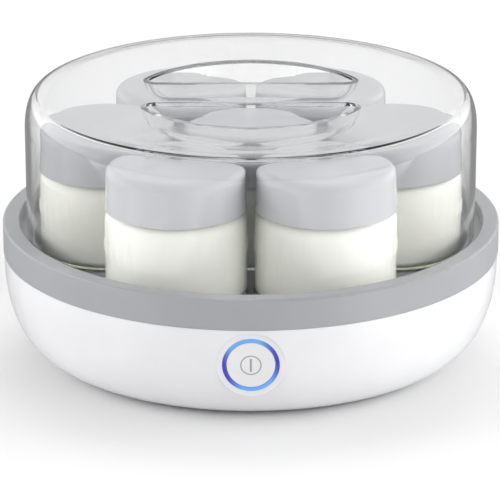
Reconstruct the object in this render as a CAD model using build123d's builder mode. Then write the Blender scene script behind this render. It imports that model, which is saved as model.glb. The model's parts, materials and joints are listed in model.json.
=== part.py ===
from build123d import *
import os
from math import cos, radians, sin

# Seven-jar yogurt maker. Millimetres, +Z up, the floor at z = 0, the vertical axis of the base at
# x = y = 0, and the button at the front, on the -Y side.

# ---- Housings ----
RIM_R = 120.0  # the widest part of the machine
RIM_TOP_Z = 64.1
JOINT_Z = 49.4  # where the grey rim meets the white shell
JOINT_GAP = 0.3
RIM_IN_R = 112.0  # inner edge of the rim's top face
LEDGE_Z = 58.2  # the lid stands on this
TRAY_R = 104.8
TRAY_Z = 46.0
TRAY_UNDER_Z = 43.0
TRAY_WALL = 2.4

BOWL_R = 119.6
BOWL_Z = 1.2
BOWL_FLAT_R = 95.0
BOWL_CURVE_Z = 46.0  # above this the bowl's side is straight
BOWL_WALL = 2.5
FLOOR_Z = BOWL_Z + BOWL_WALL  # the upper side of the shell's floor
TONGUE_R = 118.2
TONGUE_Z = 52.0

POST_PLACE_R = 86.0
POST_R = 4.5
POST_END_Z = 16.0
SCREW_SEAT_Z = 10.0
CASE_SCREW_R = 1.9
CASE_HEAD_R = 3.6
CASE_HEAD_H = 2.6

FOOT_PLACE_R = 78.0
FOOT_R = 7.0
FOOT_SINK = 1.6  # how deep a foot sits in the shell

# ---- Lid ----
LID_R = 108.4
LID_WALL = 2.4
LID_FOOT_Z = LEDGE_Z + 0.1
LID_BEND_Z = 110.5  # the side starts to curve inwards here
LID_EDGE_R = 102.8  # the curve meets the top here, in a soft edge
LID_EDGE_Z = 126.2
LID_EDGE_ROUND = 1.5
LID_CREST_R = 96.0
LID_CREST_Z = 126.8
LID_DISH_Z = 125.7  # the top falls gently to here, just outside the finger wells

# The two finger wells are D-shaped, with their straight sides along the grip bar between them.
WELL_R = 55.0
GRIP_HALF = 17.0  # half the width of the grip bar
WELL_CORNER = 5.0
WELL_DRAFT = 9.0  # degrees that the walls lean, so that a well narrows towards its floor
WELL_BRIM_ROUND = 0.6
WELL_FLOOR_ROUND = 5.0
WELL_UNDER_ROUND = 6.5
WELL_DEPTH = 11.7
DISH_R = WELL_R + 3

# ---- Jars: six in a ring and one in the middle ----
RING_R = 69.3
JAR_COUNT = 6
JAR_R = 33.0
JAR_WALL = 2.6
SEAT_R = 33.4
SEAT_DEPTH = 1.2
JAR_Z = TRAY_Z - SEAT_DEPTH + 0.1
JAR_FLOOR = 3.5
JAR_CORNER = 5.0
JAR_SHOULDER_Z = 82.5
NECK_Z = 87.3
NECK_R = 30.2
NECK_IN_R = 27.6
JAR_TOP_Z = 107.0
YOGURT_Z = 96.0
CAP_R = 33.05
CAP_TOP_R = 32.3
CAP_Z = 88.6
CAP_TOP_Z = 109.5
CAP_CORNER = 4.6
CAP_IN_R = 31.0
CAP_ROOF = 1.9

# ---- Button, round a point on the front of the shell ----
BUTTON_Z = 31.7
BUTTON_Y = -117.5
BUTTON_TILT = 4.0  # degrees that the button faces downwards
PAD_R = 15.8
PAD_DEPTH = 5.0
RING_OUT_R = 13.1
RING_IN_R = 11.4
RING_DEPTH = PAD_DEPTH
RING_FLANGE_R = 14.1
RING_FLANGE = 1.2
BUTTON_R = 11.15
BUTTON_FLANGE_R = 12.4
BOARD_FRONT = -10.9  # the button board's front face, along the button's axis
BOARD_T = 1.6
BOARD_BOSSES = [(-14.9, 7.0), (14.9, 7.0), (-14.9, -11.0), (14.9, -11.0)]
SMALL_SCREW_R = 0.95

# ---- Heater stack, from the tray downwards ----
PLATE_R = 96.0
PLATE_T = 1.0
PLATE_Z = TRAY_UNDER_Z - PLATE_T
CORD_R = 1.5
CORD_Z = PLATE_Z - CORD_R - 0.05
LOOP_R = 66.0  # the middle of the heater cord's hairpin
LOOP_HALF = 10.0
LOOP_START = 105.0  # degrees from +X
LOOP_SWEEP = 330.0
PAD_TOP_Z = 37.4
PAD_BOTTOM_Z = 34.2
INSULATION_R = 80.0
CLAMP_PLACE_R = 34.0
CLAMP_BOSS_R = 3.2

# ---- Control board ----
PCB_X = 76.0
PCB_Y = 50.0
PCB_MID_Y = 30.0
PCB_Z = 9.7
PCB_TOP_Z = PCB_Z + BOARD_T
PCB_HOLES = [(x, PCB_MID_Y + y) for x in (-33.0, 33.0) for y in (-20.0, 20.0)]
PCB_SCREW_R = 1.3

# ---- Cord gland, in the rear of the shell ----
GLAND_Y = 114.5
GLAND_Z = 24.0
GLAND_NECK_R = 5.4
GLAND_FLANGE_R = 7.6
GLAND_BORE_R = 3.2
GLAND_WALL = 4.5

UPRIGHT = Plane.XZ
TILT = radians(BUTTON_TILT)
BUTTON_FACE = Plane(
    origin=(0, BUTTON_Y, BUTTON_Z), x_dir=(1, 0, 0), z_dir=(0, -cos(TILT), -sin(TILT))
)
GLAND_FACE = Plane(origin=(0, GLAND_Y, GLAND_Z), x_dir=(-1, 0, 0), z_dir=(0, 1, 0))

os.makedirs("parts", exist_ok=True)


def save(piece, name):
    """Label a finished piece and write it to its own file."""
    piece.part.label = name
    export_step(piece.part, f"parts/{name}.step")


def disc(plane, radius, height, hole=0.0, mode=Mode.ADD):
    """A round plate or tube that starts on a plane; a negative height goes behind it."""
    with BuildSketch(plane) as outline:
        Circle(radius)
        if hole:
            Circle(hole, mode=Mode.SUBTRACT)
    extrude(outline.sketch, amount=height, mode=mode)


def block(plane, centre, size, height, mode=Mode.ADD):
    """A rectangular block that starts on a plane."""
    with BuildSketch(plane) as outline:
        with Locations(centre):
            Rectangle(*size)
    extrude(outline.sketch, amount=height, mode=mode)


def columns(plane, places, radius, height, mode=Mode.ADD):
    """The same round column at each of several places on a plane."""
    with BuildSketch(plane) as outline:
        with Locations(*places):
            Circle(radius)
    extrude(outline.sketch, amount=height, mode=mode)


def level(z):
    """The horizontal plane at height z."""
    return Plane.XY.offset(z)


def around(radius, count, start):
    """Points evenly spaced on a circle, from a start angle in degrees."""
    turns = [radians(start + 360 * i / count) for i in range(count)]
    return [(radius * cos(t), radius * sin(t)) for t in turns]


POSTS = around(POST_PLACE_R, 4, 45)
FEET = around(FOOT_PLACE_R, 4, 0)
CLAMPS = around(CLAMP_PLACE_R, 3, 90)
SEATS = around(RING_R, JAR_COUNT, -120) + [(0.0, 0.0)]


# ---- Outer shell: the white bowl ----

def bowl_side(inset):
    """The bowl's curved side from its flat bottom up to the straight part, moved in by the wall."""
    Bezier(
        (BOWL_FLAT_R, BOWL_Z + inset),
        (BOWL_FLAT_R + 13.6 - 0.4 * inset, BOWL_Z + inset),
        (BOWL_R - inset, BOWL_CURVE_Z - 28.7 + 0.4 * inset),
        (BOWL_R - inset, BOWL_CURVE_Z),
    )


with BuildPart() as bowl_solid:
    with BuildSketch(UPRIGHT):
        with BuildLine():
            Line((0, BOWL_Z), (BOWL_FLAT_R, BOWL_Z))
            bowl_side(0)
            Polyline((BOWL_R, BOWL_CURVE_Z), (BOWL_R, JOINT_Z), (0, JOINT_Z), (0, BOWL_Z))
        make_face()
    revolve(axis=Axis.Z)

# The gland's seat: a thick round patch that stays inside the bowl's outline at its upper side.
with BuildPart() as gland_patch:
    disc(GLAND_FACE.offset(-GLAND_WALL), GLAND_FLANGE_R + 3.9, GLAND_WALL + 4)
    add(bowl_solid.part, mode=Mode.INTERSECT)

with BuildPart() as outer_shell:
    with BuildSketch(UPRIGHT):
        with BuildLine():
            Line((0, BOWL_Z), (BOWL_FLAT_R, BOWL_Z))
            bowl_side(0)
            Polyline(
                (BOWL_R, BOWL_CURVE_Z),
                (BOWL_R, JOINT_Z - JOINT_GAP),
                (TONGUE_R, JOINT_Z - JOINT_GAP),
                (TONGUE_R, TONGUE_Z),
                (BOWL_R - BOWL_WALL, TONGUE_Z),
                (BOWL_R - BOWL_WALL, BOWL_CURVE_Z),
            )
            bowl_side(BOWL_WALL)
            Polyline((BOWL_FLAT_R, FLOOR_Z), (0, FLOOR_Z), (0, BOWL_Z))
        make_face()
    revolve(axis=Axis.Z)
    # The round pad for the button: flat, proud of the bowl below and sunk into it above.
    with BuildSketch(BUTTON_FACE):
        Circle(PAD_R)
    extrude(amount=-PAD_DEPTH, taper=-24)
    with BuildSketch(BUTTON_FACE):
        Circle(PAD_R)
    extrude(amount=PAD_DEPTH, taper=-24, mode=Mode.SUBTRACT)
    disc(BUTTON_FACE.offset(PAD_DEPTH), RING_OUT_R + 0.1, -3 * PAD_DEPTH, mode=Mode.SUBTRACT)
    # Bosses for the button board.
    columns(BUTTON_FACE.offset(-3.2), BOARD_BOSSES, 2.1, BOARD_FRONT + 3.2)
    columns(BUTTON_FACE.offset(BOARD_FRONT), BOARD_BOSSES, SMALL_SCREW_R, 6, Mode.SUBTRACT)
    # The gland's seat and hole.
    add(gland_patch.part)
    disc(GLAND_FACE, GLAND_FLANGE_R + 3.9, -GLAND_WALL)
    disc(GLAND_FACE, GLAND_FLANGE_R + 1.9, 8, mode=Mode.SUBTRACT)
    disc(GLAND_FACE, GLAND_NECK_R + 0.05, -12, mode=Mode.SUBTRACT)
    # Screw towers with recesses for the screw heads.
    columns(level(BOWL_Z), POSTS, 6.0, POST_END_Z - BOWL_Z - 0.1)
    columns(level(BOWL_Z), POSTS, CASE_HEAD_R + 0.4, SCREW_SEAT_Z - BOWL_Z, Mode.SUBTRACT)
    columns(level(BOWL_Z), POSTS, CASE_SCREW_R + 0.2, POST_END_Z, Mode.SUBTRACT)
    # Raised patches over the feet, and the sockets that the feet sit in.
    columns(level(BOWL_Z), FEET, FOOT_R + 2, 4.2)
    columns(level(BOWL_Z), FEET, FOOT_R, FOOT_SINK, Mode.SUBTRACT)
    # Standoffs for the control board.
    columns(level(BOWL_Z), PCB_HOLES, 3.2, PCB_Z - BOWL_Z)
    columns(level(PCB_Z), PCB_HOLES, PCB_SCREW_R, -4.6, Mode.SUBTRACT)
    # Ventilation slots under the control board.
    with BuildSketch(level(BOWL_Z)):
        with Locations((0, PCB_MID_Y)):
            with GridLocations(6, 0, 7, 1):
                SlotOverall(24, 2.6, rotation=90)
    extrude(amount=BOWL_WALL, mode=Mode.SUBTRACT)
save(outer_shell, "outer_shell")


# ---- Top housing: the grey rim and the tray in one moulding ----

with BuildPart() as top_housing:
    with BuildSketch(UPRIGHT):
        with BuildLine():
            Polyline(
                (0, TRAY_Z),
                (TRAY_R - 0.8, TRAY_Z),
                (TRAY_R, LEDGE_Z),
                (RIM_IN_R, LEDGE_Z),
                (RIM_IN_R, RIM_TOP_Z),
                (RIM_R, RIM_TOP_Z),
                (RIM_R, JOINT_Z),
                (TONGUE_R + 0.2, JOINT_Z),
                (TONGUE_R + 0.2, TONGUE_Z + 0.4),
                (TONGUE_R - 0.8, TONGUE_Z + 0.4),
                (TONGUE_R - 0.8, RIM_TOP_Z - TRAY_WALL),
                (RIM_IN_R + TRAY_WALL, RIM_TOP_Z - TRAY_WALL),
                (RIM_IN_R + TRAY_WALL, LEDGE_Z - TRAY_WALL),
                (TRAY_R + TRAY_WALL, LEDGE_Z - TRAY_WALL),
                (TRAY_R + TRAY_WALL - 0.4, TRAY_UNDER_Z),
                (0, TRAY_UNDER_Z),
                close=True,
            )
        make_face()
    revolve(axis=Axis.Z)
    rim_top = top_housing.edges().filter_by(GeomType.CIRCLE).group_by(Axis.Z)[-1]
    fillet(rim_top.sort_by(SortBy.RADIUS)[-1], 1.2)
    rim_top = top_housing.edges().filter_by(GeomType.CIRCLE).group_by(Axis.Z)[-1]
    fillet(rim_top.sort_by(SortBy.RADIUS)[0], 0.8)
    # A shallow round seat for each jar.
    columns(level(TRAY_Z), SEATS, SEAT_R, -SEAT_DEPTH, Mode.SUBTRACT)
    # Posts for the case screws, and short ones that hold the heater stack.
    columns(level(TRAY_UNDER_Z), POSTS, POST_R, POST_END_Z - TRAY_UNDER_Z)
    columns(level(POST_END_Z), POSTS, CASE_SCREW_R, 16, Mode.SUBTRACT)
    columns(level(TRAY_UNDER_Z), CLAMPS, CLAMP_BOSS_R, PAD_BOTTOM_Z + 0.2 - TRAY_UNDER_Z)
    columns(level(PAD_BOTTOM_Z + 0.2), CLAMPS, CASE_SCREW_R - 0.4, 7.5, Mode.SUBTRACT)
save(top_housing, "top_housing")


# ---- Lid: one clear moulding ----

def lid_outline(inset, foot_z):
    """The lid's half outline down to its foot, moved in by the wall thickness."""
    side = LID_R - inset
    edge = (LID_EDGE_R - 0.5 * inset, LID_EDGE_Z - 0.98 * inset)
    Polyline((0, foot_z), (side, foot_z), (side, LID_BEND_Z))
    Bezier(
        (side, LID_BEND_Z),
        (side - 0.1, LID_BEND_Z + 8.5 - 0.42 * inset),
        (LID_EDGE_R + 3.2 - 0.83 * inset, LID_EDGE_Z - 1.2 - 0.88 * inset),
        edge,
    )
    Polyline(edge, (LID_CREST_R, LID_CREST_Z - inset), (DISH_R, LID_DISH_Z - inset))
    Polyline((DISH_R, LID_DISH_Z - inset), (0, LID_DISH_Z - inset), (0, foot_z))


def finger_wells(brim_z, grow):
    """The two wells, one on each side of the grip bar, larger all round by grow."""
    with BuildSketch(level(brim_z)) as outline:
        Circle(WELL_R + grow)
        Rectangle(2 * (WELL_R + grow), 2 * (GRIP_HALF - grow), mode=Mode.SUBTRACT)
        fillet(outline.vertices(), WELL_CORNER + grow)
    extrude(outline.sketch, amount=-WELL_DEPTH, taper=WELL_DRAFT)
    extrude(outline.sketch, amount=LID_CREST_Z + 3 - brim_z)


with BuildPart() as wells:
    finger_wells(LID_DISH_Z, 0)
    fillet(wells.faces().sort_by(Axis.Z)[:2].edges(), WELL_FLOOR_ROUND)

with BuildPart() as wells_under:
    finger_wells(LID_DISH_Z - LID_WALL, LID_WALL)
    fillet(wells_under.faces().sort_by(Axis.Z)[:2].edges(), WELL_UNDER_ROUND)

with BuildPart() as lid_hollow:
    with BuildSketch(UPRIGHT):
        with BuildLine():
            lid_outline(LID_WALL, LID_FOOT_Z - 1)
        make_face()
    revolve(axis=Axis.Z)
    add(wells_under.part, mode=Mode.SUBTRACT)

with BuildPart() as lid:
    with BuildSketch(UPRIGHT):
        with BuildLine():
            lid_outline(0, LID_FOOT_Z)
        make_face()
    revolve(axis=Axis.Z)
    fillet(lid.edges().filter_by(lambda e: abs(e.center().Z - LID_EDGE_Z) < 0.01), LID_EDGE_ROUND)
    add(wells.part, mode=Mode.SUBTRACT)
    brim = [e for e in lid.edges() if abs(e.center().Z - LID_DISH_Z) < 0.01 and abs(e.center().Y) > 1]
    fillet(brim, WELL_BRIM_ROUND)
    add(lid_hollow.part, mode=Mode.SUBTRACT)
save(lid, "lid")


# ---- Jars, yogurt and caps ----

def jar_plane(place):
    """The upright plane through a jar's axis."""
    return Plane(origin=(*place, 0), x_dir=(1, 0, 0), z_dir=(0, -1, 0))


def inside_line():
    """The inside of the glass from the centre of its floor up to the neck."""
    floor_z = JAR_Z + JAR_FLOOR
    side = JAR_R - JAR_WALL
    corner = JAR_CORNER - JAR_WALL
    Line((0, floor_z), (side - corner, floor_z))
    RadiusArc((side - corner, floor_z), (side, floor_z + corner), -corner)
    Line((side, floor_z + corner), (side, JAR_SHOULDER_Z))
    ThreePointArc((side, JAR_SHOULDER_Z), (side - 0.8, NECK_Z - 2.4), (NECK_IN_R, NECK_Z - 0.4))


for number, place in enumerate(SEATS, start=1):
    axis = Axis((*place, 0), (0, 0, 1))

    with BuildPart() as glass_jar:
        with BuildSketch(jar_plane(place)):
            with BuildLine():
                Line((0, JAR_Z), (JAR_R - JAR_CORNER, JAR_Z))
                RadiusArc((JAR_R - JAR_CORNER, JAR_Z), (JAR_R, JAR_Z + JAR_CORNER), -JAR_CORNER)
                Line((JAR_R, JAR_Z + JAR_CORNER), (JAR_R, JAR_SHOULDER_Z))
                ThreePointArc((JAR_R, JAR_SHOULDER_Z), (JAR_R - 0.7, NECK_Z - 2.2), (NECK_R, NECK_Z))
                Line((NECK_R, NECK_Z), (NECK_R, JAR_TOP_Z - 1.2))
                lip_mid = (NECK_R + NECK_IN_R) / 2
                ThreePointArc((NECK_R, JAR_TOP_Z - 1.2), (lip_mid, JAR_TOP_Z), (NECK_IN_R, JAR_TOP_Z - 1.2))
                Line((NECK_IN_R, JAR_TOP_Z - 1.2), (NECK_IN_R, NECK_Z - 0.4))
                inside_line()
                Line((0, JAR_Z + JAR_FLOOR), (0, JAR_Z))
            make_face()
        revolve(axis=axis)
    save(glass_jar, f"glass_jar_{number}")

    with BuildPart() as yogurt:
        with BuildSketch(jar_plane(place)):
            with BuildLine():
                inside_line()
                Polyline((NECK_IN_R, NECK_Z - 0.4), (NECK_IN_R, YOGURT_Z), (0, YOGURT_Z))
                Line((0, YOGURT_Z), (0, JAR_Z + JAR_FLOOR))
            make_face()
        revolve(axis=axis)
    save(yogurt, f"yogurt_{number}")

    with BuildPart() as jar_cap:
        with BuildSketch(jar_plane(place)):
            with BuildLine():
                corner_z = CAP_TOP_Z - CAP_CORNER
                roof_z = CAP_TOP_Z - CAP_ROOF
                Line((CAP_IN_R, CAP_Z), (CAP_R, CAP_Z))
                Line((CAP_R, CAP_Z), (CAP_TOP_R, corner_z))
                ThreePointArc(
                    (CAP_TOP_R, corner_z),
                    (CAP_TOP_R - 0.27 * CAP_CORNER, CAP_TOP_Z - 0.33 * CAP_CORNER),
                    (CAP_TOP_R - CAP_CORNER, CAP_TOP_Z - 0.3),
                )
                Bezier((CAP_TOP_R - CAP_CORNER, CAP_TOP_Z - 0.3), (15, CAP_TOP_Z), (0, CAP_TOP_Z))
                Line((0, CAP_TOP_Z), (0, roof_z))
                Line((0, roof_z), (CAP_IN_R - 3, roof_z))
                ThreePointArc((CAP_IN_R - 3, roof_z), (CAP_IN_R - 0.9, roof_z - 0.9), (CAP_IN_R, roof_z - 3))
                Line((CAP_IN_R, roof_z - 3), (CAP_IN_R, CAP_Z))
            make_face()
        revolve(axis=axis)
    save(jar_cap, f"jar_cap_{number}")


# ---- Button and its light ring ----

with BuildPart() as light_ring:
    disc(BUTTON_FACE, RING_OUT_R, -RING_DEPTH, hole=RING_IN_R)
    disc(BUTTON_FACE.offset(-RING_DEPTH), RING_FLANGE_R, -RING_FLANGE, hole=RING_IN_R)
save(light_ring, "light_ring")

BUTTON_PROUD = 0.3
BUTTON_BACK = -(RING_DEPTH + RING_FLANGE + 0.1)
ICON_R = 4.9
ICON_LINE = 0.6
ICON_DEEP = 0.5
BAR_SIZE = (1.0, 6.5)

with BuildPart() as power_button:
    disc(BUTTON_FACE.offset(BUTTON_PROUD), BUTTON_R, BUTTON_BACK - 1 - BUTTON_PROUD)
    disc(BUTTON_FACE.offset(BUTTON_BACK), BUTTON_FLANGE_R, -1)
    fillet(power_button.edges().sort_by(Axis.Y)[0], 0.5)
    disc(BUTTON_FACE.offset(BUTTON_BACK - 1), BUTTON_R - 1.6, -BUTTON_BACK - 0.9, mode=Mode.SUBTRACT)
    disc(BUTTON_FACE.offset(-1.8), 2.2, BUTTON_BACK + 1.6)
    # The icon's groove: a circle with an upright bar in it.
    disc(BUTTON_FACE.offset(BUTTON_PROUD), ICON_R, -ICON_DEEP, ICON_R - ICON_LINE, Mode.SUBTRACT)
    block(BUTTON_FACE.offset(BUTTON_PROUD), (0, 0), BAR_SIZE, -ICON_DEEP, Mode.SUBTRACT)
save(power_button, "power_button")

with BuildPart() as button_icon:
    disc(BUTTON_FACE.offset(BUTTON_PROUD), ICON_R, -ICON_DEEP, ICON_R - ICON_LINE)
    block(BUTTON_FACE.offset(BUTTON_PROUD), (0, 0), BAR_SIZE, -ICON_DEEP)
save(button_icon, "button_icon")

SWITCH_TOP = BOARD_FRONT + 3.0
PLUNGER_R = 1.75
PLUNGER_TIP = -6.6

with BuildPart() as switch_plunger:
    disc(BUTTON_FACE.offset(PLUNGER_TIP), PLUNGER_R, -2.9)
save(switch_plunger, "switch_plunger")

with BuildPart() as tact_switch:
    block(BUTTON_FACE.offset(BOARD_FRONT), (0, 0), (6, 6), 3.0)
    disc(BUTTON_FACE.offset(SWITCH_TOP), PLUNGER_R + 0.2, -2.7, mode=Mode.SUBTRACT)
save(tact_switch, "tact_switch")

BUTTON_BOARD_X = 35.0
BUTTON_BOARD_LOW = -14.0
BUTTON_BOARD_HIGH = 9.5
BUTTON_BOARD_Y = BUTTON_BOARD_HIGH - BUTTON_BOARD_LOW
BUTTON_BOARD_MID = (BUTTON_BOARD_HIGH + BUTTON_BOARD_LOW) / 2

with BuildPart() as button_board:
    block(
        BUTTON_FACE.offset(BOARD_FRONT), (0, BUTTON_BOARD_MID), (BUTTON_BOARD_X, BUTTON_BOARD_Y), -BOARD_T
    )
    columns(BUTTON_FACE.offset(BOARD_FRONT), BOARD_BOSSES, SMALL_SCREW_R + 0.15, -BOARD_T, Mode.SUBTRACT)
save(button_board, "button_board")

LED_PLACE_R = 13.4
LED_ANGLES = (0, 36, 144, 180, 236, 304)

with BuildPart() as ring_leds:
    for angle in LED_ANGLES:
        turn = radians(angle)
        spot = (LED_PLACE_R * cos(turn), LED_PLACE_R * sin(turn))
        block(BUTTON_FACE.offset(BOARD_FRONT), spot, (1.6, 1.6), 0.9)
save(ring_leds, "ring_leds")

LEAD_SOCKET_Y = -8.0  # where the ribbon's socket sits on the back of the button board

with BuildPart() as button_socket:
    block(BUTTON_FACE.offset(BOARD_FRONT - BOARD_T), (0, LEAD_SOCKET_Y), (11, 4), -4.0)
save(button_socket, "button_socket")


# ---- Screws ----

def cross_recess(plane, places, size, depth):
    """A cross-shaped driver recess in each screw head, cut inwards from the head's face."""
    with BuildSketch(plane) as cross:
        with Locations(*places):
            Rectangle(size, size / 4)
            Rectangle(size / 4, size)
    extrude(cross.sketch, amount=depth, mode=Mode.SUBTRACT)


def screws(face, places, head_r, head_h, shank_r, length):
    """Screws whose heads start on a plane and whose shanks go on along its normal."""
    columns(face, places, head_r, head_h)
    columns(face.offset(head_h), places, shank_r, length)
    cross_recess(face, places, 1.3 * head_r, 0.6 * head_h)


def flipped(plane, gap=0.0):
    """The same plane looking the other way, with its own x kept, moved back by a gap."""
    return Plane(origin=plane.offset(-gap).origin, x_dir=plane.x_dir, z_dir=-plane.z_dir)


with BuildPart() as case_screws:
    screws(level(SCREW_SEAT_Z - CASE_HEAD_H), POSTS, CASE_HEAD_R, CASE_HEAD_H, CASE_SCREW_R, 20)
save(case_screws, "case_screws")

with BuildPart() as heater_screws:
    screws(level(PAD_BOTTOM_Z - 1.4), CLAMPS, 6.0, 1.4, CASE_SCREW_R - 0.4, 7)
save(heater_screws, "heater_screws")

BOARD_HEAD_H = 2.0

with BuildPart() as board_screws:
    down = flipped(level(PCB_TOP_Z + BOARD_HEAD_H))
    places = [(x, -y) for x, y in PCB_HOLES]
    screws(down, places, 2.6, BOARD_HEAD_H, PCB_SCREW_R, 6)
save(board_screws, "board_screws")

BUTTON_HEAD_H = 1.4

with BuildPart() as button_board_screws:
    screws(
        BUTTON_FACE.offset(BOARD_FRONT - BOARD_T - BUTTON_HEAD_H), BOARD_BOSSES, 1.9, BUTTON_HEAD_H,
        SMALL_SCREW_R, 6.5,
    )
save(button_board_screws, "button_board_screws")


# ---- Heater stack ----

with BuildPart() as heater_plate:
    disc(level(PLATE_Z), PLATE_R, PLATE_T)
    columns(level(PLATE_Z), POSTS, POST_R + 0.6, PLATE_T, Mode.SUBTRACT)
    columns(level(PLATE_Z), CLAMPS, CLAMP_BOSS_R + 0.4, PLATE_T, Mode.SUBTRACT)
save(heater_plate, "heater_plate")

OUTER_LOOP = LOOP_R + LOOP_HALF
INNER_LOOP = LOOP_R - LOOP_HALF
TURN_ANGLE = LOOP_START + LOOP_SWEEP
START = radians(LOOP_START)
ALONG = Vector(sin(START), -cos(START), 0)  # the way that the leads leave the cord's two ends

with BuildPart() as heater_cord:
    with BuildLine(level(CORD_Z)) as hairpin:
        CenterArc((0, 0), OUTER_LOOP, LOOP_START, LOOP_SWEEP)
        turn_centre = (LOOP_R * cos(radians(TURN_ANGLE)), LOOP_R * sin(radians(TURN_ANGLE)))
        CenterArc(turn_centre, LOOP_HALF, TURN_ANGLE, 180)
        CenterArc((0, 0), INNER_LOOP, TURN_ANGLE, -LOOP_SWEEP)
    outer_end = Vector(OUTER_LOOP * cos(START), OUTER_LOOP * sin(START), CORD_Z)
    with BuildSketch(Plane(origin=outer_end, z_dir=ALONG)):
        Circle(CORD_R)
    sweep(path=hairpin.wire())
save(heater_cord, "heater_cord")

FUSE_R = 1.9
FUSE_LENGTH = 10.0
inner_end = Vector(INNER_LOOP * cos(START), INNER_LOOP * sin(START), CORD_Z)
fuse_start = inner_end + ALONG * 1.0 + Vector(0, 0, PLATE_Z - FUSE_R - 0.05 - CORD_Z)

with BuildPart() as thermal_fuse:
    with BuildSketch(Plane(origin=fuse_start, z_dir=ALONG)):
        Circle(FUSE_R)
    extrude(amount=FUSE_LENGTH)
save(thermal_fuse, "thermal_fuse")

SENSOR_R = 2.5
SENSOR_LOW_Z = 36.0

with BuildPart() as temperature_sensor:
    disc(level(SENSOR_LOW_Z), SENSOR_R, PLATE_Z - SENSOR_LOW_Z)
    fillet(temperature_sensor.edges().sort_by(Axis.Z)[0], 0.8)
save(temperature_sensor, "temperature_sensor")

with BuildPart() as insulation_pad:
    disc(level(PAD_BOTTOM_Z), INSULATION_R, PAD_TOP_Z - PAD_BOTTOM_Z)
    columns(level(PAD_BOTTOM_Z), CLAMPS, CLAMP_BOSS_R + 0.4, 10, Mode.SUBTRACT)
    disc(level(PAD_BOTTOM_Z), SENSOR_R + 2, 10, mode=Mode.SUBTRACT)
    # A notch at the rear, where the heater leads come down.
    block(level(PAD_BOTTOM_Z), (-2, 68), (24, 30), 10, Mode.SUBTRACT)
save(insulation_pad, "insulation_pad")


# ---- Control board and what stands on it ----

with BuildPart() as control_board:
    block(level(PCB_Z), (0, PCB_MID_Y), (PCB_X, PCB_Y), BOARD_T)
    columns(level(PCB_Z), PCB_HOLES, PCB_SCREW_R + 0.2, BOARD_T, Mode.SUBTRACT)
save(control_board, "control_board")

with BuildPart() as relay:
    block(level(PCB_TOP_Z), (18, 36), (15.5, 19), 15)
    fillet(relay.edges().filter_by(Axis.Z), 0.8)
save(relay, "relay")

with BuildPart() as film_capacitor:
    block(level(PCB_TOP_Z), (2, 38), (8, 18), 14)
    fillet(film_capacitor.edges().filter_by(Axis.Z), 1.0)
save(film_capacitor, "film_capacitor")

with BuildPart() as electrolytic_capacitor:
    with BuildSketch(level(PCB_TOP_Z)):
        with Locations((-22, 22)):
            Circle(5)
    extrude(amount=16)
    fillet(electrolytic_capacitor.edges().sort_by(Axis.Z)[-1], 0.6)
save(electrolytic_capacitor, "electrolytic_capacitor")

TERMINAL_Y = 47.0
TERMINAL_H = 11.0
TERMINAL_X = -15.0
POLES = [(TERMINAL_X + 5.0 * (i - 1.5), TERMINAL_Y) for i in range(4)]

with BuildPart() as terminal_block:
    block(level(PCB_TOP_Z), (TERMINAL_X, TERMINAL_Y), (21, 9), TERMINAL_H)
    columns(level(PCB_TOP_Z + TERMINAL_H), POLES, 1.5, -2.5, Mode.SUBTRACT)
save(terminal_block, "terminal_block")

HEADER_H = 8.0
SENSOR_HEADER_Y = 24.0
BUTTON_HEADER_Y = 9.0

with BuildPart() as board_headers:
    block(level(PCB_TOP_Z), (0, SENSOR_HEADER_Y), (8, 5), HEADER_H)
    block(level(PCB_TOP_Z), (0, BUTTON_HEADER_Y), (11, 5), HEADER_H)
save(board_headers, "board_headers")


# ---- Leads inside the housing ----

LEAD_R = 0.9
SENSOR_LEAD_R = 0.5


def lead(points, radius, bend):
    """A wire along straight runs with round bends."""
    with BuildLine() as route:
        FilletPolyline(*points, radius=bend)
    first = Vector(*points[1]) - Vector(*points[0])
    with BuildSketch(Plane(origin=points[0], z_dir=first)) as section:
        Circle(radius)
    sweep(section.sketch, path=route.wire())


cord_exit = outer_end + ALONG * 0.05
fuse_exit = fuse_start + ALONG * (FUSE_LENGTH + 0.05)
pole_top = PCB_TOP_Z + TERMINAL_H - 2.4

with BuildPart() as heater_leads:
    lead(
        [
            tuple(cord_exit),
            tuple(cord_exit + ALONG * 9),
            (-9, 72, 31),
            (POLES[1][0], 56, 28),
            (POLES[1][0], TERMINAL_Y, 27.5),
            (POLES[1][0], TERMINAL_Y, pole_top),
        ],
        LEAD_R,
        2.4,
    )
    lead(
        [
            tuple(fuse_exit),
            tuple(fuse_exit + ALONG * 4.5),
            (2, 58, 30),
            (POLES[3][0] + 3, 52, 28),
            (POLES[3][0], TERMINAL_Y, 26),
            (POLES[3][0], TERMINAL_Y, pole_top),
        ],
        LEAD_R,
        1.8,
    )
save(heater_leads, "heater_leads")

with BuildPart() as sensor_leads:
    for x in (-1.2, 1.2):
        lead(
            [
                (x, 0, SENSOR_LOW_Z - 0.05),
                (x, 0, 27),
                (x, SENSOR_HEADER_Y, 25),
                (x, SENSOR_HEADER_Y, PCB_TOP_Z + HEADER_H),
            ],
            SENSOR_LEAD_R,
            3,
        )
save(sensor_leads, "sensor_leads")

RIBBON_T = 1.2
RIBBON_W = 8.0
socket_back = BUTTON_FACE.offset(BOARD_FRONT - BOARD_T - 4.0).from_local_coords((0, LEAD_SOCKET_Y))
ribbon_z = PCB_TOP_Z + HEADER_H / 2

with BuildPart() as button_lead:
    with BuildSketch(Plane.YZ):
        with BuildLine():
            FilletPolyline(
                (socket_back.Y, socket_back.Z),
                (socket_back.Y + 7, socket_back.Z + 0.5),
                (socket_back.Y + 16, 8.6),
                (-14, 8.6),
                (-4, ribbon_z),
                (BUTTON_HEADER_Y - 2.5, ribbon_z),
                radius=4,
            )
        trace(line_width=RIBBON_T)
    extrude(amount=RIBBON_W / 2, both=True)
save(button_lead, "button_lead")


# ---- Gland and feet ----

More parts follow.
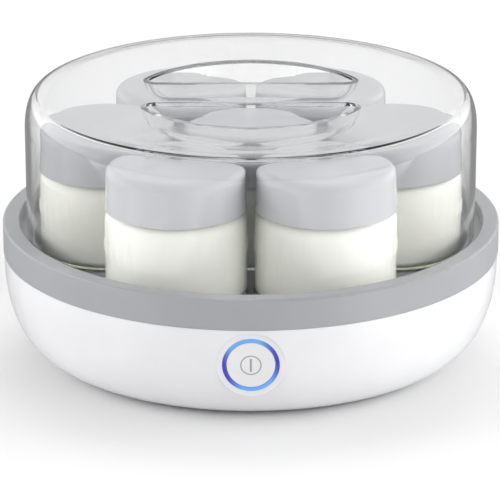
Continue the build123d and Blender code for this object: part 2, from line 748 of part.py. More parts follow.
with BuildPart() as cord_gland:
    disc(GLAND_FACE.offset(-GLAND_WALL), GLAND_NECK_R, GLAND_WALL)
    disc(GLAND_FACE, GLAND_FLANGE_R, 2)
    disc(GLAND_FACE.offset(2), GLAND_NECK_R - 0.4, 3)
    disc(GLAND_FACE.offset(-GLAND_WALL), GLAND_NECK_R + 1.2, -1.5)
    fillet(cord_gland.edges().filter_by(GeomType.CIRCLE).sort_by(Axis.Y)[-1], 0.8)
    disc(GLAND_FACE.offset(8), GLAND_BORE_R, -20, mode=Mode.SUBTRACT)
save(cord_gland, "cord_gland")

for number, place in enumerate(FEET, start=1):
    with BuildPart() as foot:
        with BuildSketch(Plane(origin=(*place, 0))):
            Circle(FOOT_R - 0.05)
        extrude(amount=BOWL_Z + FOOT_SINK)
        fillet(foot.edges().filter_by(GeomType.CIRCLE).sort_by(Axis.Z)[0], 0.6)
    save(foot, f"foot_{number}")
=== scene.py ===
import json
import math

import bmesh
import bpy
from mathutils import Matrix, Vector


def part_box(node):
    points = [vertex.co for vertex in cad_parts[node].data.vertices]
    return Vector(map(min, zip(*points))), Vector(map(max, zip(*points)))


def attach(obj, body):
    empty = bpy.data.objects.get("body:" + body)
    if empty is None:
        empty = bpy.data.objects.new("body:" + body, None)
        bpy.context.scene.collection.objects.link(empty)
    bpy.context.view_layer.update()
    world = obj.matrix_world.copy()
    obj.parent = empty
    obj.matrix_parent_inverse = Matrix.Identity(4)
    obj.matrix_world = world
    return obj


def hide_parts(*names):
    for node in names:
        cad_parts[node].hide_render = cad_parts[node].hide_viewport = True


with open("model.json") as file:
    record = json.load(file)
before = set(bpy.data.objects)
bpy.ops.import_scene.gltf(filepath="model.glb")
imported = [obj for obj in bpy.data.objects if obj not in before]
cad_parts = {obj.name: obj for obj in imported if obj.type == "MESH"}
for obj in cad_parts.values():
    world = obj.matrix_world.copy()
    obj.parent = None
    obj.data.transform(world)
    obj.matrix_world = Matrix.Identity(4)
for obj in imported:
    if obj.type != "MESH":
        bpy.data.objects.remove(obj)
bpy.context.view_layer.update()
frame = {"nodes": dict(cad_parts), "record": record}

# Shapes are worked out in millimetres, in the frame's own axes, and scaled when a mesh is made.
MM = 0.001
JARS = range(1, 8)
CAD_CREASE = 30  # degrees: sharper edges than this stay sharp
PIECE_CREASE = 35


def box_mm(node):
    """A CAD node's lowest and highest corners, in millimetres."""
    low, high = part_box(node)
    return low / MM, high / MM


# ---------------------------------------------------------------- Materials

# Texture scales are in patches per metre, more or less.
MOTTLE_SCALE = 40
GLOSS_SCALE = 120
BRUSHED_GLOSS_SCALE = 300
BRUSHED_SCALE = 1500
BRUSHED_MM = 0.01
BRUSHED_STRETCH = (1, 1, 14)
CLEAR_GLOSS_SCALE = 30
PLASTIC_IOR = 1.50
GLASS_IOR = 1.50
YOGURT = (0.96, 0.95, 0.915)
YOGURT_WARM = (0.945, 0.935, 0.89)
RING_R = 12.25
RING_TILT = 14  # degrees that the paler ends of the ring's glow lean from upright
RING_SIDE = (0.05, 0.04, 0.40, 1)
RING_TOP = (0.12, 0.32, 0.72, 1)
WHITE = (0.80, 0.80, 0.815)
GREY = (0.36, 0.365, 0.38)
CAP_GREY = (0.485, 0.49, 0.51)


def shader(name, colour, roughness, **inputs):
    """A new material with a Principled shader, its even values set on the shader's own sockets."""
    material = bpy.data.materials.new(name)
    material.use_nodes = True
    principled = material.node_tree.nodes["Principled BSDF"]
    principled.inputs["Base Color"].default_value = (*colour, 1)
    principled.inputs["Roughness"].default_value = roughness
    for socket, value in inputs.items():
        principled.inputs[socket.replace("_", " ")].default_value = value
    return material, material.node_tree, principled


def noise_node(tree, scale, detail=3.0, stretch=None):
    """Noise over the object's own coordinates, which are metres in the row's frame."""
    place = tree.nodes.new("ShaderNodeTexCoord")
    source = place.outputs["Object"]
    if stretch:
        mapping = tree.nodes.new("ShaderNodeMapping")
        mapping.inputs["Scale"].default_value = stretch
        tree.links.new(source, mapping.inputs["Vector"])
        source = mapping.outputs["Vector"]
    noise = tree.nodes.new("ShaderNodeTexNoise")
    noise.inputs["Scale"].default_value = scale
    noise.inputs["Detail"].default_value = detail
    tree.links.new(source, noise.inputs["Vector"])
    return noise.outputs["Fac"]


def add_mottle(tree, principled, colour, other, scale):
    """Slow colour variation between two close shades."""
    ramp = tree.nodes.new("ShaderNodeValToRGB")
    ramp.color_ramp.elements[0].position = 0.35
    ramp.color_ramp.elements[1].position = 0.65
    ramp.color_ramp.elements[0].color = (*colour, 1)
    ramp.color_ramp.elements[1].color = (*other, 1)
    tree.links.new(noise_node(tree, scale), ramp.inputs["Fac"])
    tree.links.new(ramp.outputs["Color"], principled.inputs["Base Color"])


def add_roughness(tree, principled, low, high, scale):
    """Uneven gloss between two roughness values."""
    spread = tree.nodes.new("ShaderNodeMapRange")
    spread.inputs["From Min"].default_value = 0.3
    spread.inputs["From Max"].default_value = 0.7
    spread.inputs["To Min"].default_value = low
    spread.inputs["To Max"].default_value = high
    tree.links.new(noise_node(tree, scale, detail=5), spread.inputs["Value"])
    tree.links.new(spread.outputs["Result"], principled.inputs["Roughness"])


def add_grain(tree, principled, scale, height_mm, strength=1.0, stretch=None):
    """Surface texture as a bump of the stated height."""
    bump = tree.nodes.new("ShaderNodeBump")
    bump.inputs["Distance"].default_value = height_mm * MM
    bump.inputs["Strength"].default_value = strength
    tree.links.new(noise_node(tree, scale, stretch=stretch), bump.inputs["Height"])
    tree.links.new(bump.outputs["Normal"], principled.inputs["Normal"])


def moulded(name, colour, roughness, grain_scale=900.0, grain_mm=0.01, contrast=0.03, **inputs):
    """Moulded plastic or rubber: slight mottle, uneven gloss and a fine grain."""
    material, tree, principled = shader(name, colour, roughness, **inputs)
    add_mottle(tree, principled, colour, [c * (1 - contrast) for c in colour], MOTTLE_SCALE)
    add_roughness(tree, principled, roughness * 0.85, roughness * 1.15, GLOSS_SCALE)
    add_grain(tree, principled, grain_scale, grain_mm)
    return material


def clear(name, tint, ior, waviness_mm, waviness_scale, lamp_tint, depth_tint=None, depth_density=0.0):
    """Clear plastic or glass with a faint moulding waviness, and a colour that deepens with its thickness."""
    material, tree, principled = shader(name, tint, 0.0, Transmission_Weight=1.0, IOR=ior)
    add_roughness(tree, principled, 0.0, 0.02, CLEAR_GLOSS_SCALE)
    add_grain(tree, principled, waviness_scale, waviness_mm)
    output = tree.nodes["Material Output"]
    if depth_tint:
        inner = tree.nodes.new("ShaderNodeVolumeAbsorption")
        inner.inputs["Color"].default_value = (*depth_tint, 1)
        inner.inputs["Density"].default_value = depth_density
        tree.links.new(inner.outputs["Volume"], output.inputs["Volume"])
    # The lamps' light passes straight through, so that what is inside is lit.
    path = tree.nodes.new("ShaderNodeLightPath")
    lit = tree.nodes.new("ShaderNodeMath")
    lit.operation = "MAXIMUM"
    through = tree.nodes.new("ShaderNodeBsdfTransparent")
    through.inputs["Color"].default_value = (*lamp_tint, 1)
    mix = tree.nodes.new("ShaderNodeMixShader")
    tree.links.new(path.outputs["Is Shadow Ray"], lit.inputs[0])
    tree.links.new(path.outputs["Is Diffuse Ray"], lit.inputs[1])
    tree.links.new(lit.outputs["Value"], mix.inputs["Fac"])
    tree.links.new(principled.outputs["BSDF"], mix.inputs[1])
    tree.links.new(through.outputs["BSDF"], mix.inputs[2])
    tree.links.new(mix.outputs["Shader"], output.inputs["Surface"])
    return material


def metal(name, colour, roughness):
    """Brushed or drawn metal, with its lines along one axis."""
    material, tree, principled = shader(name, colour, roughness, Metallic=1.0)
    add_roughness(tree, principled, roughness * 0.7, roughness * 1.3, BRUSHED_GLOSS_SCALE)
    add_grain(tree, principled, BRUSHED_SCALE, BRUSHED_MM, stretch=BRUSHED_STRETCH)
    return material


def yogurt_material():
    material, tree, principled = shader(
        "yogurt", YOGURT, 0.35, Subsurface_Weight=0.15, Subsurface_Scale=0.004
    )
    principled.inputs["Subsurface Radius"].default_value = (1.0, 0.9, 0.6)
    add_mottle(tree, principled, YOGURT, YOGURT_WARM, 60)
    add_grain(tree, principled, 260, 0.05, 0.5)
    return material


def ring_material():
    """The lit ring: a blue light guide, deep indigo at its sides and paler at its top and bottom."""
    material, tree, principled = shader("light_guide", (0.10, 0.17, 0.55), 0.25)
    low, high = box_mm("light_ring")
    place = tree.nodes.new("ShaderNodeTexCoord")
    mapping = tree.nodes.new("ShaderNodeMapping")
    mapping.vector_type = "TEXTURE"
    mapping.inputs["Location"].default_value = Vector((0, 0, (low.z + high.z) / 2)) * MM
    mapping.inputs["Rotation"].default_value = (0, math.radians(-RING_TILT), 0)
    mapping.inputs["Scale"].default_value = [RING_R * MM] * 3
    split = tree.nodes.new("ShaderNodeSeparateXYZ")
    sideways = tree.nodes.new("ShaderNodeMath")
    sideways.operation = "ABSOLUTE"
    ramp = tree.nodes.new("ShaderNodeValToRGB")
    ramp.color_ramp.elements[0].position = 0.55
    ramp.color_ramp.elements[1].position = 0.97
    ramp.color_ramp.elements[0].color = RING_TOP
    ramp.color_ramp.elements[1].color = RING_SIDE
    tree.links.new(place.outputs["Object"], mapping.inputs["Vector"])
    tree.links.new(mapping.outputs["Vector"], split.inputs["Vector"])
    tree.links.new(split.outputs["X"], sideways.inputs[0])
    tree.links.new(sideways.outputs["Value"], ramp.inputs["Fac"])
    tree.links.new(ramp.outputs["Color"], principled.inputs["Base Color"])
    tree.links.new(ramp.outputs["Color"], principled.inputs["Emission Color"])
    principled.inputs["Emission Strength"].default_value = 0.3
    return material


MATERIALS = {
    "white_plastic": moulded("white_plastic", WHITE, 0.22, 700, 0.004, Coat_Weight=0.2),
    "grey_plastic": moulded("grey_plastic", GREY, 0.34, 1400, 0.012),
    "cap_plastic": moulded("cap_plastic", CAP_GREY, 0.09, 500, 0.0015),
    "clear_plastic": clear(
        "clear_plastic", (0.992, 0.993, 0.993), PLASTIC_IOR, 0.003, 25, (0.998, 0.998, 0.998)
    ),
    "jar_glass": clear(
        "jar_glass", (0.995, 0.997, 0.992), GLASS_IOR, 0.006, 45, (0.998, 0.998, 0.992),
        depth_tint=(0.515, 0.71, 0.315), depth_density=9.0,
    ),
    "yogurt": yogurt_material(),
    "light_guide": ring_material(),
    "icon_ink": moulded("icon_ink", (0.36, 0.34, 0.32), 0.5),
    "aluminium": metal("aluminium", (0.78, 0.79, 0.80), 0.35),
    "steel": metal("steel", (0.58, 0.58, 0.60), 0.30),
    "silicone": moulded("silicone", (0.72, 0.70, 0.66), 0.55),
    "felt": moulded("felt", (0.74, 0.72, 0.66), 0.95, 1800, 0.25, 0.12),
    "dark_plastic": moulded("dark_plastic", (0.035, 0.035, 0.04), 0.42),
    "circuit_board": moulded("circuit_board", (0.02, 0.16, 0.07), 0.3, 250, 0.02, 0.3),
    "yellow_plastic": moulded("yellow_plastic", (0.62, 0.45, 0.06), 0.4),
    "green_plastic": moulded("green_plastic", (0.05, 0.30, 0.10), 0.4),
    "connector_plastic": moulded("connector_plastic", (0.78, 0.76, 0.68), 0.45),
    "led_package": moulded("led_package", (0.86, 0.85, 0.70), 0.3),
    "lead_grey": moulded("lead_grey", (0.33, 0.33, 0.34), 0.45),
    "lead_white": moulded("lead_white", (0.80, 0.78, 0.74), 0.45),
    "rubber": moulded("rubber", (0.045, 0.045, 0.048), 0.7, 1600, 0.03, 0.2),
}

for part in frame["record"]["subparts"]:
    node = frame["nodes"][part["node"]]
    node.data.materials.clear()
    node.data.materials.append(MATERIALS[part["material_slot"]])
    for polygon in node.data.polygons:
        polygon.use_smooth = True
    node.data.set_sharp_from_angle(angle=math.radians(CAD_CREASE))


# ---------------------------------------------------------------- Making meshes

def arc(centre, radius, start, end, steps):
    """Points on a circle between two angles in degrees."""
    turns = [math.radians(start + (end - start) * i / steps) for i in range(steps + 1)]
    return [(centre[0] + radius * math.cos(t), centre[1] + radius * math.sin(t)) for t in turns]


def bezier(a, b, c, d, steps):
    """Points on a cubic curve from a to d."""
    points = []
    for i in range(steps + 1):
        t = i / steps
        s = 1 - t
        weights = (s ** 3, 3 * s * s * t, 3 * s * t * t, t ** 3)
        points.append(tuple(sum(w * p[k] for w, p in zip(weights, (a, b, c, d))) for k in (0, 1)))
    return points


def rounded(corners, steps=8):
    """A path through corners (x, y, rounding), each one turned by an arc of its rounding."""
    path = []
    for i, (x, y, rounding) in enumerate(corners):
        here = Vector((x, y))
        if not rounding:
            path.append((x, y))
            continue
        back = (Vector(corners[i - 1][:2]) - here).normalized()
        ahead = (Vector(corners[(i + 1) % len(corners)][:2]) - here).normalized()
        half = back.angle(ahead) / 2
        centre = here + (back + ahead).normalized() * (rounding / math.sin(half))
        first = here + back * (rounding / math.tan(half)) - centre
        sweep = first.angle_signed(here + ahead * (rounding / math.tan(half)) - centre)
        for k in range(steps + 1):
            path.append(tuple(centre + Matrix.Rotation(-sweep * k / steps, 2) @ first))
    return path


def loop_of(bm, points, height):
    """A ring of vertices from points (x, y) in mm at one height."""
    return [bm.verts.new((x * MM, y * MM, height * MM)) for x, y in points]


def bridge(bm, first, second):
    """A band of faces between two rings of the same length."""
    count = len(first)
    for i in range(count):
        j = (i + 1) % count
        bm.faces.new((first[i], first[j], second[j], second[i]))


def even_turns(count):
    return [2 * math.pi * i / count for i in range(count)]


def lathe(bm, profile, turns, centre=(0, 0)):
    """Turns a profile of (radius, height) round an upright axis; radius 0 is a pole. Returns the rings."""
    rings = []
    for radius, height in profile:
        if not radius:
            rings.append([bm.verts.new((centre[0] * MM, centre[1] * MM, height * MM))])
            continue
        circle = [(centre[0] + radius * math.cos(t), centre[1] + radius * math.sin(t)) for t in turns]
        rings.append(loop_of(bm, circle, height))
    for first, second in zip(rings, rings[1:]):
        if len(first) == 1 or len(second) == 1:
            pole, ring = (first[0], second) if len(first) == 1 else (second[0], first)
            for i, vertex in enumerate(ring):
                bm.faces.new((pole, vertex, ring[(i + 1) % len(ring)]))
        else:
            bridge(bm, first, second)
    return rings


def finish_piece(name, bm, body, slot, replaced):
    """Makes the mesh object, gives it its material and body, and hides the CAD nodes that it stands for."""
    bmesh.ops.recalc_face_normals(bm, faces=bm.faces)
    mesh = bpy.data.meshes.new(name)
    bm.to_mesh(mesh)
    bm.free()
    for polygon in mesh.polygons:
        polygon.use_smooth = True
    mesh.set_sharp_from_angle(angle=math.radians(PIECE_CREASE))
    mesh.materials.append(MATERIALS[slot])
    piece = bpy.data.objects.new(name, mesh)
    bpy.context.scene.collection.objects.link(piece)
    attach(piece, body)
    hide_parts(*replaced)
    return piece


# ---------------------------------------------------------------- Lid

LID_LOW, LID_HIGH = box_mm("lid")
LID_R = LID_HIGH.x
LID_WALL = 2.4
FOOT_UP = 0.6  # height of the foot's rounded part
FOOT_ROUND = 0.5
LID_BEND = LID_HIGH.z - 16.3  # height where the side starts to curve in
EDGE_R = LID_R - 5.6  # the top meets the shoulder in a soft edge here
EDGE_DROP = 0.6
EDGE_ROUND = 1.5
CREST_R = LID_R - 12.4
CREST_ROUND = 40.0
DISH_DROP = 1.1  # the top falls by this much from its crest to the finger wells
WELL_R = 55.0
DISH_R = WELL_R + 3
GRIP_HALF = 17.0
WELL_CORNER = 5.0
WELL_DEPTH = 11.7
FLOOR_R = 53.15  # a finger well narrows to this at its floor
FLOOR_GRIP_HALF = 18.85
FLOOR_CORNER = 7.0
BRIM_ROUND = 0.6
FLOOR_ROUND = 5.0
LAP = 0.4  # how far the wells' flat brim and floor go past their rounded parts
LID_TURNS = 256


def lid_skin(inset):
    """The lid's profile from the foot up to its middle: the outside, or the inside at an inset of one wall.

    The shoulder is a cubic curve, whose two middle points are up, over its foot, and over, by the edge.
    """
    side = LID_R - inset
    share = inset / LID_WALL
    edge = (EDGE_R - 1.2 * share, LID_HIGH.z - EDGE_DROP - 2.35 * share)
    up = (side - 0.1, LID_BEND + 8.5 - share)
    over = (EDGE_R + 3.2 - 2.0 * share, LID_HIGH.z - 1.8 - 2.1 * share)
    climb_from = LID_LOW.z + FOOT_UP
    climb = [(side, climb_from + (LID_BEND - climb_from) * i / 12, 0) for i in range(12)]
    shoulder = [(x, y, 0) for x, y in bezier((side, LID_BEND), up, over, edge, 24)[:-1]]
    crest = (CREST_R, LID_HIGH.z - inset)
    dish = (DISH_R, LID_HIGH.z - DISH_DROP - inset)
    top = rounded(climb + shoulder + [(*edge, EDGE_ROUND), (*crest, CREST_ROUND), (*dish, 0)], 5)[:-1]
    return top + [tuple(Vector(top[-1]).lerp(Vector(dish), i / 8)) for i in range(1, 9)]


def between(start, end, share):
    return start + (end - start) * share


def well_outline(sign, down, grow):
    """The D-shaped outline of one finger well at a share of the way down it, larger all round by grow."""
    down = min(max(down, 0.0), 1.0)
    radius = between(WELL_R, FLOOR_R, down)
    chord_y = between(GRIP_HALF, FLOOR_GRIP_HALF, down)
    rounding = between(WELL_CORNER, FLOOR_CORNER, down)
    corner_y = chord_y + rounding
    corner_x = math.sqrt((radius - rounding) ** 2 - corner_y ** 2)
    lean = math.degrees(math.atan2(corner_y, corner_x))
    chord = [(corner_x * (i / 14 - 1), chord_y - grow) for i in range(29)][1:-1]
    right = arc((corner_x, corner_y), rounding + grow, -90, lean, 14)
    outer = arc((0, 0), radius + grow, lean, 180 - lean, 80)[1:-1]
    left = arc((-corner_x, corner_y), rounding + grow, 180 - lean, 270, 14)
    return [(x, sign * y) for x, y in chord + right + outer + left]


def well_skin(bm, sign, layers):
    """Rings down one side of a finger well's wall; layers are (grow, height). Returns the first ring."""
    start = layers[0][1]
    rings = [
        loop_of(bm, well_outline(sign, (start - height) / WELL_DEPTH, grow), height)
        for grow, height in layers
    ]
    for first, second in zip(rings, rings[1:]):
        bridge(bm, first, second)
    bm.faces.new(rings[-1])
    return rings[0]


def ring_edges(bm, ring):
    """The edges round a ring, made where they are missing."""
    pairs = [(vertex, ring[(i + 1) % len(ring)]) for i, vertex in enumerate(ring)]
    return [bm.edges.get(pair) or bm.edges.new(pair) for pair in pairs]


def make_lid():
    bm = bmesh.new()
    outside = lid_skin(0)
    inside = lid_skin(LID_WALL)
    foot = rounded([
        (LID_R - LID_WALL, LID_LOW.z + FOOT_UP, 0), (LID_R - LID_WALL, LID_LOW.z, FOOT_ROUND),
        (LID_R, LID_LOW.z, FOOT_ROUND), (LID_R, LID_LOW.z + FOOT_UP, 0),
    ], 4)[1:-1]
    rings = lathe(bm, inside[::-1] + foot + outside, even_turns(LID_TURNS))
    top = LID_HIGH.z - DISH_DROP
    floor = top - WELL_DEPTH
    brim = [(BRIM_ROUND + LAP, top)] + [
        (BRIM_ROUND - x, top - BRIM_ROUND + y) for x, y in arc((0, 0), BRIM_ROUND, 90, 0, 6)
    ]
    wall = [(0, floor + FLOOR_ROUND + h) for h in (5, 3.5, 2, 1)]
    bowl = [(-x, floor + y) for x, y in arc((FLOOR_ROUND, FLOOR_ROUND), FLOOR_ROUND, 180, 270, 8)]
    upper_layers = brim + wall + bowl + [(-FLOOR_ROUND - LAP, floor)]
    under_round = FLOOR_ROUND + LID_WALL
    under = floor - LID_WALL
    under_wall = [(LID_WALL, top - LID_WALL - h) for h in (0, 1, 2, 3)]
    under_bowl = [
        (LID_WALL - x, under + y) for x, y in arc((under_round, under_round), under_round, 180, 270, 10)
    ]
    under_layers = [(LID_WALL + 0.3, top - LID_WALL)] + under_wall + under_bowl
    under_layers.append((-FLOOR_ROUND - LAP, under))
    for layers, rim_ring, facing in ((upper_layers, rings[-1], 1), (under_layers, rings[0], -1)):
        edges = ring_edges(bm, rim_ring)
        for sign in (1, -1):
            edges += ring_edges(bm, well_skin(bm, sign, layers))
        bmesh.ops.triangle_fill(bm, edges=edges, use_beauty=True, normal=(0, 0, facing))
    return finish_piece("lid_shell", bm, "lid", "clear_plastic", ["lid"])


make_lid()


# ---------------------------------------------------------------- Jars, yogurt and caps

JAR_R = 33.0
JAR_WALL = 2.6
JAR_FLOOR = 3.5
JAR_HEEL_ROUND = 5.0
PUNT_R = 26  # the underside rises a little inside this
PUNT_UP = 0.6
HEEL_UP = 12
INNER_HEEL_ROUND = 2.4
NECK_R = 30.2
NECK_IN_R = 27.6
SHOULDER_UP = 37.6  # height of the shoulder's start above the jar's foot
NECK_UP = 42.4
BEAD_UP = 48  # height of the bead that the cap goes over
BEAD_PROUD = 0.5
BEAD_HEIGHT = 2
LIP_R = 1.3
BAND_LOW = 23.6  # the row of raised bars
BAND_HIGH = 28.2
BAND_SLOPE = 0.5
BARS = 36
BAR_PROUD = 0.45
SEGMENTS_PER_BAR = 8
BAR_SEGMENTS = (3, 4, 5)
WETTED = 0.05  # the yogurt reaches this far into the glass, so no film of air is left between them
YOGURT_SEGMENTS = 96
CAP_FOOT_R = 33.05
CAP_SHOULDER_R = 32.25
CAP_SIDE_R = 32.7
CAP_IN_R = 31.0
CAP_TOP_ROUND = 4.4
CAP_IN_ROUND = 2.6
CAP_ROOF = 1.9
CAP_EDGE_ROUND = 0.35
CAP_SEGMENTS = 160


def jar_inside(foot_z, spread=0.0):
    """The inside of the glass from the middle of its floor up to the neck; spread moves it into the glass."""
    side = JAR_R - JAR_WALL + spread
    floor = foot_z + JAR_FLOOR - spread
    neck = NECK_IN_R + spread
    start = foot_z + SHOULDER_UP
    end = foot_z + NECK_UP - 0.4
    path = rounded([(0, floor, 0), (side, floor, INNER_HEEL_ROUND + spread), (side, start, 0)], 8)
    return path + bezier((side, start), (side, start + 2.6), (neck + 1.6, end - 1.4), (neck, end), 10)[1:]


def jar_outside(foot, radius, top):
    """The outside of the glass in parts: up to the row of bars, the rest up to the neck, and the lip."""
    base = rounded([
        (0, foot + PUNT_UP, 0), (PUNT_R, foot, 0), (radius, foot, JAR_HEEL_ROUND),
        (radius, foot + HEEL_UP, 0),
    ], 10)
    band = [
        BAND_LOW - BAND_SLOPE, BAND_LOW, (BAND_LOW + BAND_HIGH) / 2, BAND_HIGH, BAND_HIGH + BAND_SLOPE
    ]
    side = [(radius, foot + up) for up in band] + [(radius, foot + SHOULDER_UP)]
    shoulder = bezier(
        (radius, foot + SHOULDER_UP), (radius, foot + SHOULDER_UP + 3.0),
        (NECK_R + 1.4, foot + NECK_UP - 1.2), (NECK_R, foot + NECK_UP), 10,
    )[1:]
    bead_low, bead_high = foot + BEAD_UP, foot + BEAD_UP + BEAD_HEIGHT
    proud = NECK_R + BEAD_PROUD
    bead = rounded([
        (NECK_R, bead_low, 0), (proud, bead_low + 0.6, 0.3), (proud, bead_high - 0.6, 0.3),
        (NECK_R, bead_high, 0),
    ], 3)
    lip = arc(((NECK_R + NECK_IN_R) / 2, top - LIP_R), LIP_R, 0, 180, 8)
    return base, side + shoulder + bead, lip


def raise_bars(rings, centre, radius):
    """Moves the middle segments of each bar outwards on these rings."""
    scale = (radius + BAR_PROUD) / radius
    for ring in rings:
        for i, vertex in enumerate(ring):
            if i % SEGMENTS_PER_BAR in BAR_SEGMENTS:
                vertex.co.x = centre[0] * MM + (vertex.co.x - centre[0] * MM) * scale
                vertex.co.y = centre[1] * MM + (vertex.co.y - centre[1] * MM) * scale


def yogurt_profile(foot, surface):
    """The yogurt from the middle of the jar's floor up the glass, and in across its flat top."""
    wet = jar_inside(foot, WETTED)
    top_edge = [
        (NECK_IN_R + WETTED, surface - 0.4), (NECK_IN_R - 0.8, surface - 0.9), (NECK_IN_R - 3, surface - 1.1)
    ]
    return wet + [(NECK_IN_R + WETTED, surface - 3)] + top_edge + [(0, surface - 1.0)]


def cap_profile(low, high):
    """A cap from the middle of its crown down its side, and back up inside."""
    outer = [
        (0, high, 0), (14, high - 0.03, 0), (CAP_SHOULDER_R, high - 0.25, CAP_TOP_ROUND),
        (CAP_SIDE_R, low + 2.6, 0), (CAP_FOOT_R, low, CAP_EDGE_ROUND),
    ]
    inner = [
        (CAP_IN_R, low, CAP_EDGE_ROUND), (CAP_IN_R, high - 4.6, 0), (CAP_IN_R, high - CAP_ROOF, CAP_IN_ROUND),
        (12, high - CAP_ROOF, 0), (0, high - CAP_ROOF, 0),
    ]
    return rounded(outer + inner, 10)


def make_jar(number):
    """One jar's glass, yogurt and cap, each on its own CAD node's box."""
    low, high = box_mm(f"glass_jar_{number}")
    centre = ((low.x + high.x) / 2, (low.y + high.y) / 2)
    radius = (high.x - low.x) / 2
    base, side, lip = jar_outside(low.z, radius, high.z)
    bm = bmesh.new()
    profile = base + side + lip + jar_inside(low.z)[::-1]
    rings = lathe(bm, profile, even_turns(BARS * SEGMENTS_PER_BAR), centre)
    raise_bars([rings[len(base) + i] for i in (1, 2, 3)], centre, radius)
    finish_piece(f"jar_{number}_glass", bm, f"jar_{number}", "jar_glass", [f"glass_jar_{number}"])

    surface = box_mm(f"yogurt_{number}")[1].z
    bm = bmesh.new()
    lathe(bm, yogurt_profile(low.z, surface), even_turns(YOGURT_SEGMENTS), centre)
    finish_piece(f"jar_{number}_yogurt", bm, f"jar_{number}", "yogurt", [f"yogurt_{number}"])

    cap_low, cap_high = box_mm(f"jar_cap_{number}")
    bm = bmesh.new()
    lathe(bm, cap_profile(cap_low.z, cap_high.z), even_turns(CAP_SEGMENTS), centre)
    finish_piece(f"cap_{number}", bm, f"cap_{number}", "cap_plastic", [f"jar_cap_{number}"])


for number in JARS:
    make_jar(number)


# ---------------------------------------------------------------- Stage, light and camera

FLOOR_SIZE = 40
FLOOR = 0.78  # the floor's brightness
# The floor's colour in reflections is painted: dark bands at the sides, a darker strip in front and bright
# bands at the front corners stand in for a studio's cards.
FLOOR_MIRRORED = 0.8  # in reflections, along the middle
FLOOR_PAINTED_DARK = 0.2  # painted dark in reflections, at the sides: a painted reflection that stands in for dark cards, so the edges of a clear object show dark
FLOOR_PAINTED_FRONT = 0.45  # painted darker in reflections, in front of the object
FLOOR_PAINTED_BRIGHT = 1.0  # painted bright in reflections, in front and to the sides: a painted reflection that stands in for two bright cards with a gap between

MIDDLE_TO_PAINTED_DARK = (0.08, 0.15)  # where these change, in metres from the middle
FRONT_TO_SIDE = (0.13, 0.16)
FRONT_TO_REAR = (-0.16, -0.13)
LEFT_WALL = 0.7  # how bright the studio's walls are
RIGHT_WALL = 0.9
FRONT_WALL = 0.25
REAR_WALL = 0.72
SIDE_WALLS = (0.35, 0.8)  # the side walls come up between these, as parts of a direction's length
CEILING = (0.4, 0.8)
CEILING_SHARE = 0.2
REAR_FROM = (0.0, 0.8)
LAMP_FADE = (0.1, 0.5)  # a lamp fades between these parts of its size from its middle
MIDDLE = (0, 0, 0.08)
CAMERA_AT = (-0.0004, -1.536, 0.5907)
CAMERA_DOWN = 19.54  # degrees
SENSOR = 36.0
LENS = 241.1
# Name, place, width and height, and radiance.
LAMPS = (
    ("front_left_softbox", (-1.68, -1.08, 0.85), (2.1, 1.3), 4.0),
    ("front_right_softbox", (1.68, -1.08, 0.85), (2.1, 1.3), 6.2),
    ("left_softbox", (-1.78, 0.15, 0.85), (1.7, 1.3), 6.4),
    ("right_softbox", (1.78, 0.15, 0.85), (1.7, 1.3), 7.0),
    ("rear_softbox", (0, 1.05, 1.85), (1.9, 1.3), 4.4),
)


def stepped(tree, value, low, high, start, end, smooth=False):
    """A number that goes from start to end as value goes from low to high."""
    step = tree.nodes.new("ShaderNodeMapRange")
    step.interpolation_type = "SMOOTHSTEP" if smooth else "LINEAR"
    tree.links.new(value, step.inputs["Value"])
    for socket, given in (("From Min", low), ("From Max", high), ("To Min", start), ("To Max", end)):
        if isinstance(given, float):
            step.inputs[socket].default_value = given
        else:
            tree.links.new(given, step.inputs[socket])
    return step.outputs["Result"]


def calculated(tree, operation, first, second):
    """The sum or the product of two numbers."""
    result = tree.nodes.new("ShaderNodeMath")
    result.operation = operation
    tree.links.new(first, result.inputs[0])
    tree.links.new(second, result.inputs[1])
    return result.outputs["Value"]


def make_floor():
    """A plain pale floor. What reflections see of it is painted with bright and dark bands that stand in for
    a studio's cards.
    """
    bpy.ops.mesh.primitive_plane_add(size=FLOOR_SIZE, location=(0, 0, 0))
    floor = bpy.context.object
    floor.name = "studio_floor"
    material = bpy.data.materials.new("studio_floor")
    material.use_nodes = True
    tree = material.node_tree
    tree.nodes.remove(tree.nodes["Principled BSDF"])
    paint = tree.nodes.new("ShaderNodeBsdfDiffuse")
    path = tree.nodes.new("ShaderNodeLightPath")
    place = tree.nodes.new("ShaderNodeTexCoord")
    split = tree.nodes.new("ShaderNodeSeparateXYZ")
    sideways = tree.nodes.new("ShaderNodeMath")
    sideways.operation = "ABSOLUTE"
    tree.links.new(place.outputs["Object"], split.inputs["Vector"])
    tree.links.new(split.outputs["X"], sideways.inputs[0])
    away = sideways.outputs["Value"]
    # Painted reflection: glossy rays see these painted dark and bright bands, and the camera and diffuse
    # light see the plain floor.
    rear = stepped(tree, away, *MIDDLE_TO_PAINTED_DARK, FLOOR_MIRRORED, FLOOR_PAINTED_DARK, True)
    front = stepped(tree, away, *FRONT_TO_SIDE, FLOOR_PAINTED_FRONT, FLOOR_PAINTED_BRIGHT, True)
    painted_reflection = stepped(tree, split.outputs["Y"], *FRONT_TO_REAR, front, rear)
    shade = stepped(tree, path.outputs["Glossy Depth"], 0.0, 1.0, FLOOR, painted_reflection)
    tree.links.new(shade, paint.inputs["Color"])
    tree.links.new(paint.outputs["BSDF"], tree.nodes["Material Output"].inputs["Surface"])
    floor.data.materials.append(material)


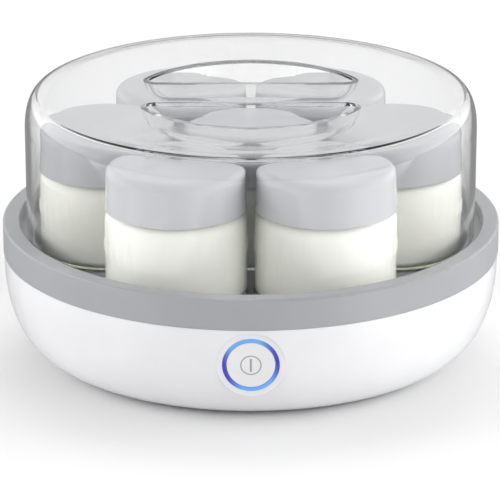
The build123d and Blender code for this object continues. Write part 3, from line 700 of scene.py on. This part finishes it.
def make_world():
    """The studio's walls: white behind the object and at its sides, darker overhead and in front."""
    world = bpy.data.worlds.new("studio")
    bpy.context.scene.world = world
    world.use_nodes = True
    tree = world.node_tree
    place = tree.nodes.new("ShaderNodeTexCoord")
    split = tree.nodes.new("ShaderNodeSeparateXYZ")
    tree.links.new(place.outputs["Generated"], split.inputs["Vector"])
    inner, outer = SIDE_WALLS
    left = stepped(tree, split.outputs["X"], -outer, -inner, LEFT_WALL, 0.0, True)
    right = stepped(tree, split.outputs["X"], inner, outer, 0.0, RIGHT_WALL, True)
    height = stepped(tree, split.outputs["Z"], *CEILING, 1.0, CEILING_SHARE, True)
    ends = stepped(tree, split.outputs["Y"], *REAR_FROM, FRONT_WALL, REAR_WALL, True)
    sides = calculated(tree, "MULTIPLY", calculated(tree, "ADD", left, right), height)
    background = tree.nodes["Background"]
    tree.links.new(calculated(tree, "ADD", sides, ends), background.inputs["Strength"])
    background.inputs["Color"].default_value = (1.0, 1.0, 1.0, 1)


def softbox(name, place, size, radiance):
    """A rectangular lamp that is brightest in its middle and fades out towards its edges."""
    data = bpy.data.lights.new(name, "AREA")
    data.shape = "RECTANGLE"
    data.size, data.size_y = size
    data.energy = radiance * math.pi * size[0] * size[1]
    data.use_nodes = True
    tree = data.node_tree
    across = tree.nodes.new("ShaderNodeNewGeometry")
    split = tree.nodes.new("ShaderNodeSeparateXYZ")
    tree.links.new(across.outputs["Parametric"], split.inputs["Vector"])
    fade = tree.nodes.new("ShaderNodeMath")
    fade.operation = "MULTIPLY"
    for socket, axis in zip(fade.inputs, "XY"):
        offset = tree.nodes.new("ShaderNodeMath")
        offset.operation = "SUBTRACT"
        offset.inputs[1].default_value = 0.5
        distance = tree.nodes.new("ShaderNodeMath")
        distance.operation = "ABSOLUTE"
        tree.links.new(split.outputs[axis], offset.inputs[0])
        tree.links.new(offset.outputs["Value"], distance.inputs[0])
        tree.links.new(stepped(tree, distance.outputs["Value"], *LAMP_FADE, 1.0, 0.0, True), socket)
    tree.links.new(fade.outputs["Value"], tree.nodes["Emission"].inputs["Strength"])
    lamp = bpy.data.objects.new(name, data)
    lamp.location = place
    lamp.rotation_euler = (Vector(MIDDLE) - Vector(place)).to_track_quat("-Z", "Y").to_euler()
    # The lamps only give light: what the gloss and the camera see is the studio's walls.
    lamp.visible_camera = False
    lamp.visible_glossy = False
    lamp.visible_transmission = False
    bpy.context.scene.collection.objects.link(lamp)


def make_camera():
    data = bpy.data.cameras.new("camera")
    data.sensor_width = SENSOR
    data.lens = LENS
    data.clip_end = 100
    camera = bpy.data.objects.new("camera", data)
    camera.location = CAMERA_AT
    camera.rotation_euler = (math.radians(90 - CAMERA_DOWN), 0, 0)
    bpy.context.scene.collection.objects.link(camera)
    bpy.context.scene.camera = camera


make_floor()
make_world()
for lamp in LAMPS:
    softbox(*lamp)
make_camera()
scene = bpy.context.scene
scene.view_settings.view_transform = "Standard"
# Light that runs along inside the clear lid turns many times before it comes out.
scene.cycles.max_bounces = 32
scene.cycles.glossy_bounces = 24
scene.cycles.transmission_bounces = 32
scene.cycles.transparent_max_bounces = 32
